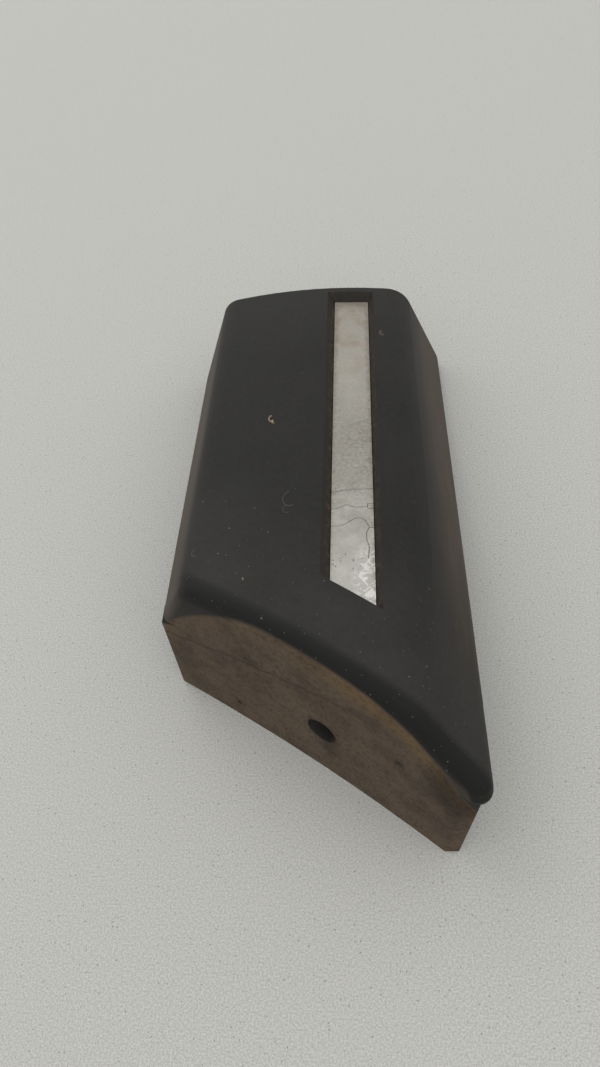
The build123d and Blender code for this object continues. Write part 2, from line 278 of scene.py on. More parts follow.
def make_hairlines_group():
    """Fine broken hairlines that run roughly one way, along the second axis of Place."""
    wiring, given, results = new_group("hairlines", [
        ("Place", VECTOR, None), ("Spacing", FLOAT, 3.0), ("Length", FLOAT, 8.0),
        ("Width", FLOAT, 0.04), ("Share", FLOAT, 0.4)], [("Mask", FLOAT)])
    squeeze = wiring.add("ShaderNodeCombineXYZ", {"X": 1.0, "Z": 1.0})
    wiring.feed(squeeze.inputs["Y"], wiring.math("DIVIDE", 1.0, given["Length"]))
    wobble = wiring.add("ShaderNodeTexNoise", {"Vector": given["Place"], "Scale": 0.16, "Detail": 2.0})
    moved = wiring.add("ShaderNodeVectorMath", operation="MULTIPLY_ADD")
    wiring.feed(moved.inputs[0], wobble.outputs["Color"])
    moved.inputs[1].default_value = (5.0, 5.0, 5.0)
    wiring.feed(moved.inputs[2], given["Place"])
    stretched = wiring.stretched(moved.outputs[0], squeeze.outputs[0])
    lines = wiring.add("ShaderNodeTexVoronoi", {"Vector": stretched, "Randomness": 1.0},
                       feature="DISTANCE_TO_EDGE")
    wiring.feed(lines.inputs["Scale"], wiring.math("DIVIDE", 1.0, given["Spacing"]))
    thin = wiring.math("SUBTRACT", 1.0, wiring.rise(lines.outputs["Distance"], 0.0, given["Width"]))
    breaks = wiring.noise(given["Place"], 0.22, detail=2.0)
    middle = wiring.math("SUBTRACT", 1.0, given["Share"])
    kept = wiring.rise(breaks, wiring.math("SUBTRACT", middle, 0.04), wiring.plus(middle, 0.04))
    wiring.feed(results["Mask"], wiring.times(thin, kept))
    return wiring.tree


def make_scuff_group():
    """One small scuff: part of a ring about a centre, seen from above the face."""
    wiring, given, results = new_group("curled_scuff", [
        ("Place", VECTOR, None), ("Centre", VECTOR, None), ("Radius", FLOAT, 0.8),
        ("Line", FLOAT, 0.12), ("Opening", FLOAT, 0.2)], [("Mask", FLOAT)])
    offset = wiring.add("ShaderNodeVectorMath", operation="SUBTRACT")
    wiring.feed(offset.inputs[0], given["Place"])
    wiring.feed(offset.inputs[1], given["Centre"])
    flat = wiring.stretched(offset.outputs[0], (1.0, 0.75, 0.0))
    length = wiring.add("ShaderNodeVectorMath", {0: flat}, operation="LENGTH")
    ring = wiring.band(length.outputs["Value"], given["Radius"], given["Line"])
    parts = wiring.add("ShaderNodeSeparateXYZ", {"Vector": flat})
    side = wiring.plus(parts.outputs["X"], wiring.times(parts.outputs["Y"], 0.4))
    reach = wiring.times(given["Radius"], given["Opening"])
    kept = wiring.math("LESS_THAN", side, reach)
    wiring.feed(results["Mask"], wiring.times(ring, kept))
    return wiring.tree


def make_metal_wear_group():
    """Rolled steel: fine lines one way, cloudy tarnish, and spots of rust."""
    wiring, given, results = new_group("metal_wear", [
        ("Place", VECTOR, None), ("Rust", FLOAT, 0.3), ("Spot", FLOAT, 2.0)],
        [("Lines", FLOAT), ("Clouds", FLOAT), ("Rust", FLOAT)])
    lines = wiring.noise(wiring.stretched(given["Place"], (9.0, 0.35, 9.0)), 1.0, detail=4.0)
    clouds = wiring.noise(given["Place"], 0.35, detail=5.0, roughness=0.65)
    spot_scale = wiring.math("DIVIDE", 1.0, given["Spot"])
    spots = wiring.noise(given["Place"], spot_scale, detail=6.0, roughness=0.7)
    limit = wiring.math("SUBTRACT", 0.8, wiring.times(given["Rust"], 0.4))
    rust = wiring.rise(spots, wiring.math("SUBTRACT", limit, 0.06), wiring.plus(limit, 0.05))
    wiring.feed(results["Lines"], lines)
    wiring.feed(results["Clouds"], clouds)
    wiring.feed(results["Rust"], rust)
    return wiring.tree


def make_foam_group():
    """Closed foam cells with a skin: a height, and a mask of the pores."""
    wiring, given, results = new_group("foam_cells", [
        ("Place", VECTOR, None), ("Cell", FLOAT, 0.35)], [("Height", FLOAT), ("Pores", FLOAT)])
    scale = wiring.math("DIVIDE", 1.0, given["Cell"])
    cells = wiring.add("ShaderNodeTexVoronoi",
                       {"Vector": given["Place"], "Scale": scale, "Randomness": 1.0})
    broad = wiring.noise(given["Place"], 0.9, detail=3.0)
    pores = wiring.rise(cells.outputs["Distance"], 0.42, 0.08)
    wiring.feed(results["Pores"], pores)
    wiring.feed(results["Height"], wiring.plus(wiring.times(pores, -0.6), wiring.times(broad, 0.5)))
    return wiring.tree


PLACE = make_place_group()
MOTTLE = make_mottle_group()
GRAINS = make_grains_group()
HAIRLINES = make_hairlines_group()
SCUFF = make_scuff_group()
METAL_WEAR = make_metal_wear_group()
FOAM = make_foam_group()


# --------------------------------------------------------------------------------------------------
# Materials
# --------------------------------------------------------------------------------------------------

def new_material(name):
    """A material with only a Principled shader: its wiring, the shader and the place of each point."""
    made = bpy.data.materials.new(name)
    made.use_nodes = True
    wiring = Wiring(made.node_tree)
    shader = made.node_tree.nodes["Principled BSDF"]
    place = wiring.group(PLACE)
    return made, wiring, shader, place


charcoal = colour(0.0082, 0.0080, 0.0076)
bare_rubber_and_shade = colour(0.0030, 0.0030, 0.0032)
charcoal_worn = colour(0.0135, 0.0131, 0.0124)
pale_dust = colour(0.30, 0.29, 0.27)
road_dirt_and_light = colour(0.117, 0.086, 0.061)
dark_dirt_and_shade = colour(0.035, 0.027, 0.020)
ochre_dirt = colour(0.145, 0.098, 0.052)
lint = colour(0.42, 0.33, 0.22)


# the end wall's top edge: level in the middle, falling evenly to the left and ever faster to the right
edge_crown = 43.2
edge_falls_left_of = -5.5
edge_left_curve = 0.0263
edge_falls_right_of = -3.0
edge_right_share = 0.0493
edge_right_drop = 3.4
edge_right_power = 3.4


def end_edge_height(wiring, place):
    """How far out the end wall's top edge stands, in millimetres, at a point's place across."""
    left = wiring.math("MINIMUM", wiring.plus(place["Across"], -edge_falls_left_of), 0.0)
    right = wiring.math("MAXIMUM", wiring.plus(place["Across"], -edge_falls_right_of), 0.0)
    left_fall = wiring.times(left, left, edge_left_curve)
    right_share = wiring.times(right, edge_right_share)
    right_fall = wiring.times(wiring.math("POWER", right_share, edge_right_power), edge_right_drop)
    return wiring.math("SUBTRACT", wiring.math("SUBTRACT", edge_crown, left_fall), right_fall)


def rubber_zones(wiring, place):
    """Masks of the moulding's end face, rolled edge (thin dust and painted shade), flanks, groove and
    hollow.
    """
    zones = {}
    zones["below_edge"] = wiring.math("SUBTRACT", end_edge_height(wiring, place), place["Out"])
    below_lips = wiring.rise(place["Out"], 28.5, 26.5)
    turned = wiring.plus(place["Faces Wall"], wiring.times(below_lips, 0.25))
    zones["end"] = wiring.times(wiring.rise(place["Wall"], -3.0, -1.0), wiring.rise(turned, 0.78, 0.97),
                                wiring.rise(zones["below_edge"], -0.5, 1.3))
    by_wall = wiring.rise(place["Wall"], -4.6, -2.0)
    zones["rolled"] = wiring.times(by_wall, wiring.rise(place["Out"], 18.0, 26.0),
                                   wiring.math("SUBTRACT", 1.0, zones["end"]))
    zones["right"] = wiring.rise(place["Faces Right"], 0.35, 0.8)
    zones["left"] = wiring.rise(place["Faces Right"], -0.35, -0.8)
    sideways = wiring.math("ABSOLUTE", wiring.math("SUBTRACT", place["Across"], insert_middle))
    half = 0.5 * (insert_right - insert_left)
    zones["beside_insert"] = wiring.band(sideways, half + 0.3, 1.5)
    zones["groove"] = wiring.times(
        wiring.rise(sideways, half + groove_bevel + 0.5, half + groove_bevel - 0.4),
        wiring.rise(place["Along"], insert_near - 10.0, insert_near - 4.0),
        wiring.rise(place["Faces Out"], 0.985, 0.93),
        wiring.rise(place["Out"], 38.0, 40.0))
    zones["hollow"] = wiring.math("MAXIMUM", wiring.rise(place["Faces Out"], -0.05, -0.2),
                                  wiring.rise(place["Faces Wall"], -0.6, -0.9))
    return zones


def weathered_rubber():
    """Old black rubber: streaks and dust on the face, road dirt on the end, road dirt and painted light
    on the flanks, and painted shade on the rolled edge, the right nose and a line across the end.
    """
    made, wiring, shader, place = new_material("weathered_rubber")
    zones = rubber_zones(wiring, place)
    where = place["Place"]

    streaks = wiring.noise(wiring.stretched(where, (1.7, 0.035, 1.7)), 1.0, detail=4.0, roughness=0.6)
    clouds = wiring.noise(where, 0.075, detail=5.0, roughness=0.6)
    worn = wiring.plus(wiring.times(streaks, 0.75), wiring.times(clouds, 0.6), -0.30, clamp=True)
    base = wiring.mix(worn, charcoal, charcoal_worn)

    # a film of dust on the face, thicker by both ends and thin on the rolled edge
    near_end = wiring.rise(place["Wall"], -34.0, -9.0)
    film = wiring.group(MOTTLE, place=where, size=16.0, cover=0.5, softness=0.22)["Mask"]
    fine_film = wiring.group(MOTTLE, place=where, size=1.3, cover=0.5, softness=0.2)["Mask"]
    far_end = wiring.rise(place["Along"], 38.0, 64.0)
    dust = wiring.plus(0.010, wiring.times(film, 0.010), wiring.times(near_end, 0.028),
                       wiring.times(near_end, 0.020, film), wiring.times(fine_film, 0.016),
                       wiring.times(far_end, 0.022))
    dust = wiring.times(dust, wiring.math("SUBTRACT", 1.0, wiring.times(zones["rolled"], 0.85)),
                        wiring.math("SUBTRACT", 1.0, wiring.times(zones["hollow"], 0.5)))
    tone = wiring.mix(dust, base, pale_dust)
    # painted shade: the rounding of the rolled edge is darkened towards black rubber, standing in for
    # the shade it falls into
    tone = wiring.mix(wiring.times(zones["rolled"], 0.42), tone, bare_rubber_and_shade)

    # dust grains of two sizes, more of them by the end
    small = wiring.group(GRAINS, place=where, cell=0.55, grain=0.22, share=0.10)["Mask"]
    large = wiring.group(GRAINS, place=where, cell=1.7, grain=0.14, share=0.16)["Mask"]
    crowd = wiring.plus(0.25, wiring.times(near_end, 0.75))
    grains = wiring.times(wiring.plus(wiring.times(small, 0.30), wiring.times(large, 0.42)), crowd)
    tone = wiring.mix(grains, tone, pale_dust)

    # faint hairlines, and a few curled scuffs
    hairs = wiring.group(HAIRLINES, place=where, spacing=9.0, length=9.0, width=0.006,
                         share=0.36)["Mask"]
    tone = wiring.mix(wiring.times(hairs, 0.07), tone, pale_dust)
    marks = 0.0
    for across, along, radius, line, strength in face_scuffs:
        centre = (across, along, 0.0)
        mark = wiring.group(SCUFF, place=where, centre=centre, radius=radius, line=line)["Mask"]
        marks = wiring.plus(marks, wiring.times(mark, strength), clamp=True)
    marks = wiring.times(marks, wiring.rise(place["Out"], 36.0, 39.0),
                         wiring.rise(place["Faces Out"], 0.6, 0.9))
    tone = wiring.mix(marks, tone, lint)

    # brown dirt in the groove, and on the flanks brown road dirt that also brightens them as painted
    # light
    grime = wiring.group(MOTTLE, place=where, size=3.5, cover=0.52, softness=0.25)["Mask"]
    in_groove = wiring.times(zones["groove"], wiring.plus(0.25, wiring.times(grime, 0.35)))
    tone = wiring.mix(in_groove, tone, dark_dirt_and_shade)
    spotted = wiring.group(MOTTLE, place=where, size=1.8, cover=0.42, softness=0.14)["Mask"]
    by_insert = wiring.times(zones["groove"], zones["beside_insert"], spotted, 0.38)
    tone = wiring.mix(by_insert, tone, ochre_dirt)
    drawn_out = wiring.stretched(where, (0.5, 0.06, 0.5))
    long_grime = wiring.noise(drawn_out, 1.0, detail=5.0, roughness=0.62)
    low_on_flank = wiring.rise(place["Out"], 42.0, 30.0)
    # painted light: the flanks are browned and brightened, the brightening standing in for the light
    # that falls on them
    right_flank_dirt_and_light = wiring.times(zones["right"], wiring.rise(place["Along"], -66.0, -10.0), low_on_flank,
                              wiring.plus(0.15, wiring.times(long_grime, 0.58)))
    left_flank_dirt_and_light = wiring.times(zones["left"], low_on_flank,
                             wiring.plus(0.18, wiring.times(long_grime, 0.58)))
    tone = wiring.mix(wiring.math("ADD", right_flank_dirt_and_light, left_flank_dirt_and_light, clamp=True), tone, road_dirt_and_light)

    # the end face: a coat of dirt, streaked along the wall, with an ochre rub below its rolled edge
    along_wall = wiring.stretched(where, (0.12, 0.12, 0.80))
    wall_streaks = wiring.noise(along_wall, 1.0, detail=6.0, roughness=0.68)
    blotches = wiring.group(MOTTLE, place=where, size=5.0, cover=0.5, softness=0.16)["Mask"]
    flecks = wiring.group(MOTTLE, place=where, size=0.9, cover=0.44, softness=0.10)["Mask"]
    coat = zones["end"]
    thick = wiring.times(coat, wiring.plus(0.28, wiring.times(wall_streaks, 0.95),
                                           wiring.times(blotches, 0.30)))
    tone = wiring.mix(wiring.math("MINIMUM", thick, 1.0), tone, road_dirt_and_light)
    rub = wiring.times(coat, wiring.band(zones["below_edge"], 2.4, 5.4),
                       wiring.plus(0.30, wiring.times(wiring.band(place["Across"], 17.0, 26.0), 1.0)),
                       wiring.plus(0.35, wiring.times(grime, 0.85)))
    tone = wiring.mix(wiring.math("MINIMUM", rub, 1.0), tone, ochre_dirt)
    tone = wiring.mix(wiring.times(flecks, coat, 0.45), tone, dark_dirt_and_shade)
    smears = wiring.group(MOTTLE, place=where, size=9.0, cover=0.46, softness=0.12)["Mask"]
    tone = wiring.mix(wiring.times(smears, coat, 0.34), tone, dark_dirt_and_shade)
    # the flaws darken towards black rubber; one of them is painted shade on the right nose
    tone = wiring.mix(wiring.times(end_nicks_and_nose_shade(wiring, place), coat), tone, bare_rubber_and_shade)
    # painted shadow: a dark line on the end face under the body's overhanging edge, in the dark dirt
    # colour, with a shallow groove in the relief
    shadowed_crease = crease_shadow_line(wiring, place, coat)
    tone = wiring.mix(wiring.times(shadowed_crease, 0.45), tone, dark_dirt_and_shade)
    crumbs = wiring.group(GRAINS, place=where, cell=1.1, grain=0.20, share=0.16)["Mask"]
    tone = wiring.mix(wiring.times(crumbs, coat, 0.5), tone, dark_dirt_and_shade)

    wiring.feed(shader.inputs["Base Color"], tone)
    rough = wiring.plus(0.50, wiring.times(dust, 1.6), wiring.times(coat, 0.30),
                        wiring.times(streaks, 0.10), wiring.times(grains, 0.3), clamp=True)
    wiring.feed(shader.inputs["Roughness"], rough)
    shader.inputs["Specular IOR Level"].default_value = 0.20

    # relief: drawn lines, a fine grain, the dirt's crust and the scuffs
    grain = wiring.noise(where, 4.5, detail=4.0, roughness=0.65)
    height = wiring.plus(wiring.times(streaks, 0.030), wiring.times(grain, 0.020),
                         wiring.times(clouds, 0.10),
                         wiring.times(coat, wiring.noise(where, 2.2, detail=5.0), 0.09),
                         wiring.times(grains, 0.10), wiring.times(marks, 0.16),
                         wiring.times(hairs, -0.02), wiring.times(shadowed_crease, -0.08))
    wiring.feed(shader.inputs["Normal"], wiring.bump(height))
    return made


nick_wander = 2.4


def end_nicks_and_nose_shade(wiring, place):
    """Ragged dark flaws in the end face, smudges at its left end, painted shade over its right nose,
    and grime by the screw hole.
    """
    ragged = wiring.add("ShaderNodeTexNoise", {"Vector": place["Place"], "Scale": 1.4, "Detail": 3.0})
    moved = wiring.add("ShaderNodeVectorMath", operation="MULTIPLY_ADD")
    wiring.feed(moved.inputs[0], ragged.outputs["Color"])
    moved.inputs[1].default_value = (nick_wander,) * 3
    wiring.feed(moved.inputs[2], place["Place"])
    shift = 0.5 * nick_wander
    total = 0.0
    for across, along, out, radius, strength in end_flaws_and_nose_shade:
        gap = wiring.add("ShaderNodeVectorMath", operation="DISTANCE")
        wiring.feed(gap.inputs[0], moved.outputs[0])
        gap.inputs[1].default_value = (across + shift, along + shift, out + shift)
        spot = wiring.rise(gap.outputs["Value"], radius, 0.35 * radius)
        total = wiring.plus(total, wiring.times(spot, strength), clamp=True)
    return total


crease_middle_out = 30.4
crease_slope = 0.292


def crease_shadow_line(wiring, place, end_mask):
    """A shallow line on the end face, darkened as a painted shadow where the body's edge overhangs the
    tab, rising from the left lip towards the middle.
    """
    level = wiring.plus(crease_middle_out, wiring.times(place["Across"], crease_slope))
    off = wiring.math("SUBTRACT", place["Out"], level)
    uneven = wiring.noise(place["Place"], 0.25, detail=2.0)
    wander = wiring.times(wiring.math("SUBTRACT", uneven, 0.5), 1.6)
    line = wiring.band(wiring.plus(off, wander), 0.0, 0.9)
    fade = wiring.rise(place["Across"], 16.0, -2.0)
    return wiring.times(line, fade, end_mask)


# flaws of the end face, and one patch of painted shade on its right nose: place across, along and out,
# radius and strength
end_flaws_and_nose_shade = [
    (-30.6, -28.9, 0.6, 1.6, 0.9),
    (-16.3, -38.6, 6.3, 0.9, 0.8),
    (-17.0, -38.2, 7.4, 0.6, 0.7),
    (-5.3, -45.8, 17.3, 0.6, 0.6),
    (-2.4, -47.5, 23.4, 0.7, 0.5),
    (18.1, -60.9, 24.5, 1.6, 0.45),
    (-11.9, -41.3, 28.4, 3.0, 0.20),
    (2.8, -50.7, 16.7, 5.6, 0.35),
    (4.2, -51.6, 11.0, 3.4, 0.25),
    # painted shade: the right nose's rounding at the top edge, darkened towards black rubber
    (29.5, -68.2, 26.5, 12.0, 0.55),
    (-30.0, -29.5, 27.0, 3.0, 0.25),
]

# the scuffs on the face: place across and along, ring radius, line width and strength
face_scuffs = [
    (-9.8, 15.8, 0.75, 0.30, 0.62),
    (-9.4, 14.7, 0.35, 0.30, 0.55),
    (-4.3, -10.4, 1.6, 0.16, 0.14),
    (-4.9, -13.4, 0.8, 0.16, 0.10),
    (-12.7, -31.2, 0.12, 0.28, 0.55),
    (-23.7, -23.0, 0.7, 0.18, 0.12),
    (16.9, 47.8, 0.6, 0.5, 0.16),
    (25.6, -36.4, 0.5, 0.3, 0.20),
]


def aged_foil():
    """Bright foil gone dull: silver with beige and brown tarnish, dark grains and a painted highlight
    patch.
    """
    made, wiring, shader, place = new_material("aged_foil")
    where = place["Place"]
    patches = wiring.group(MOTTLE, place=where, size=5.0, cover=0.5, softness=0.25)["Mask"]
    fine = wiring.group(MOTTLE, place=where, size=0.8, cover=0.5, softness=0.2)["Mask"]
    towards_square_end = wiring.rise(place["Along"], -8.0, 60.0)
    silver = wiring.mix(patches, colour(0.36, 0.35, 0.31), colour(0.51, 0.50, 0.455))
    tarnish = wiring.times(towards_square_end, wiring.plus(0.12, wiring.times(patches, 0.50)))
    tone = wiring.mix(tarnish, silver, colour(0.30, 0.255, 0.20))
    dull_middle = wiring.times(wiring.band(place["Along"], 6.0, 30.0),
                               wiring.plus(0.38, wiring.times(fine, 0.45)))
    tone = wiring.mix(dull_middle, tone, colour(0.25, 0.235, 0.20))
    tone = wiring.mix(wiring.times(fine, 0.18), tone, colour(0.30, 0.28, 0.245))

    # the end by the slant has kept most of its shine
    near_shine = wiring.rise(place["Along"], -20.0, -36.0)
    tone = wiring.mix(wiring.times(near_shine, 0.55), tone, colour(0.62, 0.61, 0.575))

    # brown where the foil has lifted along its sides, most of all by the square end
    from_middle = wiring.math("ABSOLUTE", wiring.math("SUBTRACT", place["Across"], insert_middle))
    uneven = wiring.noise(where, 0.45, detail=5.0, roughness=0.7)
    brown_width = wiring.plus(-1.3, wiring.times(towards_square_end, 0.7), wiring.times(uneven, 3.4))
    edge = wiring.rise(wiring.plus(from_middle, brown_width), 4.0, 5.4)
    far_edge = wiring.rise(wiring.plus(place["Along"], wiring.times(patches, 3.0)), 60.5, 65.5)
    browned = wiring.math("MAXIMUM", wiring.times(edge, 0.50), wiring.times(far_edge, 0.45))
    tone = wiring.mix(wiring.times(browned, wiring.plus(0.55, wiring.times(fine, 0.45))), tone,
                      colour(0.135, 0.092, 0.055))
    blush = wiring.group(MOTTLE, place=where, size=7.5, cover=0.42, softness=0.12)["Mask"]
    tone = wiring.mix(wiring.times(blush, towards_square_end, 0.50), tone, colour(0.27, 0.19, 0.12))

    # fine dark crackle, grains, and a speckled patch towards the slanted end
    crackle = wiring.group(HAIRLINES, place=where, spacing=1.7, length=0.7, width=0.075,
                           share=0.47)["Mask"]
    tone = wiring.mix(wiring.times(crackle, wiring.band(place["Along"], 2.0, 26.0), 0.50), tone,
                      colour(0.10, 0.095, 0.085))
    grains = wiring.group(GRAINS, place=where, cell=0.50, grain=0.34, share=0.42)["Mask"]
    speckled = wiring.plus(0.07, wiring.times(wiring.band(place["Along"], -26.5, 5.5), uneven, 1.5),
                           wiring.times(wiring.band(place["Along"], -8.0, 7.0), uneven, 0.6))
    tone = wiring.mix(wiring.times(grains, speckled), tone, colour(0.11, 0.10, 0.085))

    # painted highlight: a bright patch of glints near the slanted end, also smoother and slightly
    # raised
    swirls = wiring.noise(where, 0.55, detail=3.0, distortion=1.0)
    glint_patch = wiring.times(wiring.rise(place["Along"], -18.0, -32.0),
                         wiring.rise(place["Across"], 8.0, 12.0), wiring.rise(swirls, 0.46, 0.56))
    tone = wiring.mix(wiring.times(glint_patch, 0.9), tone, colour(0.80, 0.79, 0.75))
    wiring.feed(shader.inputs["Base Color"], tone)
    wiring.feed(shader.inputs["Metallic"], wiring.plus(0.35, wiring.times(patches, 0.25)))
    rough = wiring.plus(0.38, wiring.times(fine, 0.14), wiring.times(tarnish, 0.22),
                        wiring.times(glint_patch, -0.16))
    wiring.feed(shader.inputs["Roughness"], rough)
    wrinkle = wiring.noise(wiring.stretched(where, (0.8, 1.0, 1.0)), 0.55, detail=4.0, roughness=0.5)
    crinkle = wiring.noise(where, 3.0, detail=3.0, roughness=0.6)
    height = wiring.plus(wiring.times(wrinkle, 0.16), wiring.times(crinkle, 0.02),
                         wiring.times(glint_patch, 0.05))
    wiring.feed(shader.inputs["Normal"], wiring.bump(height))
    return made


def steel(name, bright, dull, rust, metallic, roughness):
    """Plated or primed sheet steel, with rolling lines, cloudy tarnish and rust spots."""
    made, wiring, shader, place = new_material(name)
    wear = wiring.group(METAL_WEAR, place=place["Place"], rust=rust, spot=2.4)
    tone = wiring.mix(wear["Clouds"], bright, dull)
    tone = wiring.mix(wiring.times(wear["Lines"], 0.25), tone, dull)
    tone = wiring.mix(wear["Rust"], tone, colour(0.16, 0.062, 0.022))
    wiring.feed(shader.inputs["Base Color"], tone)
    solid = wiring.math("SUBTRACT", 1.0, wiring.times(wear["Rust"], 0.9))
    wiring.feed(shader.inputs["Metallic"], wiring.times(solid, metallic))
    rough = wiring.plus(roughness, wiring.times(wear["Clouds"], 0.18),
                        wiring.times(wear["Rust"], 0.35), clamp=True)
    wiring.feed(shader.inputs["Roughness"], rough)
    height = wiring.plus(wiring.times(wear["Lines"], 0.012), wiring.times(wear["Rust"], 0.05),
                         wiring.times(wiring.noise(place["Place"], 3.0, detail=4.0), 0.02))
    wiring.feed(shader.inputs["Normal"], wiring.bump(height))
    return made


def moulded_plastic(name, light, dark, roughness, specular):
    """Injection-moulded plastic: cloudy colour, a fine grain, and dirt in patches."""
    made, wiring, shader, place = new_material(name)
    where = place["Place"]
    clouds = wiring.group(MOTTLE, place=where, size=5.0, cover=0.5, softness=0.3)["Mask"]
    grime = wiring.group(MOTTLE, place=where, size=2.2, cover=0.40, softness=0.12)["Mask"]
    tone = wiring.mix(clouds, light, dark)
    tone = wiring.mix(wiring.times(grime, 0.30), tone, dark_dirt_and_shade)
    wiring.feed(shader.inputs["Base Color"], tone)
    rough = wiring.plus(roughness, wiring.times(grime, 0.3), clamp=True)
    wiring.feed(shader.inputs["Roughness"], rough)
    shader.inputs["Specular IOR Level"].default_value = specular
    grain = wiring.noise(where, 6.0, detail=3.0)
    wiring.feed(shader.inputs["Normal"], wiring.bump(wiring.times(grain, 0.02)))
    return made


def foam(name, skin, pore, cell):
    """Closed-cell foam: a matt skin with small pores and pale dust in them."""
    made, wiring, shader, place = new_material(name)
    cells = wiring.group(FOAM, place=place["Place"], cell=cell)
    dust = wiring.group(MOTTLE, place=place["Place"], size=3.0, cover=0.45, softness=0.2)["Mask"]
    tone = wiring.mix(cells["Pores"], skin, pore)
    tone = wiring.mix(wiring.times(dust, 0.18), tone, pale_dust)
    wiring.feed(shader.inputs["Base Color"], tone)
    wiring.feed(shader.inputs["Roughness"], wiring.plus(0.78, wiring.times(cells["Pores"], 0.15)))
    wiring.feed(shader.inputs["Normal"], wiring.bump(wiring.times(cells["Height"], 0.12)))
    return made


def acrylic_tape():
    """Yellowed adhesive tape, uneven and slightly shiny, with grit stuck to its edges."""
    made, wiring, shader, place = new_material("acrylic_tape")
    where = place["Place"]
    clouds = wiring.group(MOTTLE, place=where, size=2.5, cover=0.5, softness=0.3)["Mask"]
    grit = wiring.group(GRAINS, place=where, cell=0.4, grain=0.3, share=0.35)["Mask"]
    tone = wiring.mix(clouds, colour(0.50, 0.42, 0.26), colour(0.36, 0.28, 0.15))
    tone = wiring.mix(wiring.times(grit, 0.7), tone, dark_dirt_and_shade)
    wiring.feed(shader.inputs["Base Color"], tone)
    wiring.feed(shader.inputs["Roughness"], wiring.plus(0.34, wiring.times(clouds, 0.25)))
    wiring.feed(shader.inputs["Normal"], wiring.bump(wiring.times(clouds, 0.05)))
    return made


# --------------------------------------------------------------------------------------------------
# The foil: a creased sheet, cracked across in places, on the insert's carrier
# --------------------------------------------------------------------------------------------------

# cracks, as points across and along the moulding
foil_cracks = [
    [(4.0, -7.2), (6.9, -6.5), (9.2, -6.2), (12.3, -6.1), (14.0, -5.8)],
    [(4.0, -12.2), (5.7, -11.8), (6.7, -11.3), (7.6, -10.8), (8.4, -10.9), (8.9, -11.3), (10.2, -11.5),
     (11.4, -11.3), (12.2, -11.4), (12.5, -11.9), (14.0, -11.7)],
    [(4.0, -16.8), (6.1, -16.8), (7.5, -16.3), (8.7, -15.2), (9.7, -14.5), (10.7, -14.5), (11.7, -15.1),
     (12.2, -16.3), (12.6, -17.1), (14.0, -17.3)],
    [(12.5, -17.1), (11.9, -18.6), (12.0, -20.7), (12.4, -22.0), (12.4, -23.0), (12.2, -25.5)],
    [(12.2, -11.4), (12.3, -10.4), (14.0, -10.2)],
]
crack_width = 0.13

# the creases, in three sizes: how wide the waves are and how deep, in millimetres
foil_creases = [(7.0, 0.10), (2.2, 0.09), (0.8, 0.05)]
foil_cells_per_mm = 2.4
foil_spare_length = 12.0
foil_start_above = 6.0
foil_gap = 0.02


def deselect_all():
    for thing in bpy.context.selected_objects:
        thing.select_set(False)


def make_active(thing):
    deselect_all()
    thing.select_set(True)
    bpy.context.view_layer.objects.active = thing


def apply_modifier(thing, name, kind, **settings):
    make_active(thing)
    modifier = thing.modifiers.new(name, kind)
    for key, value in settings.items():
        setattr(modifier, key, value)
    bpy.ops.object.modifier_apply(modifier=modifier.name)


def settle(thing, matrix):
    """Moves the mesh itself, so that the object stays at the origin, unturned and unscaled."""
    thing.data.transform(matrix)
    thing.data.update()


def finish_piece(thing, name, material, replaced=()):
    thing.name = name
    thing.data.name = name
    thing.data.materials.clear()
    thing.data.materials.append(material)
    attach(thing, "root")
    if replaced:
        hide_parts(*replaced)
    return thing


def crack_blade(points):
    """A thin upright blade along one crack, which cuts the foil."""
    curve = bpy.data.curves.new("crack_blade", "CURVE")
    curve.dimensions = "2D"
    curve.extrude = 1.0
    spline = curve.splines.new("POLY")
    spline.points.add(len(points) - 1)
    for point, (across, along) in zip(spline.points, points):
        point.co = (across, along, 0.0, 1.0)
    path = bpy.data.objects.new("crack_blade", curve)
    bpy.context.scene.collection.objects.link(path)
    make_active(path)
    bpy.ops.object.convert(target="MESH")
    blade = bpy.context.view_layer.objects.active
    apply_modifier(blade, "thickness", "SOLIDIFY", thickness=crack_width, offset=0.0,
                   use_even_offset=True)
    return blade


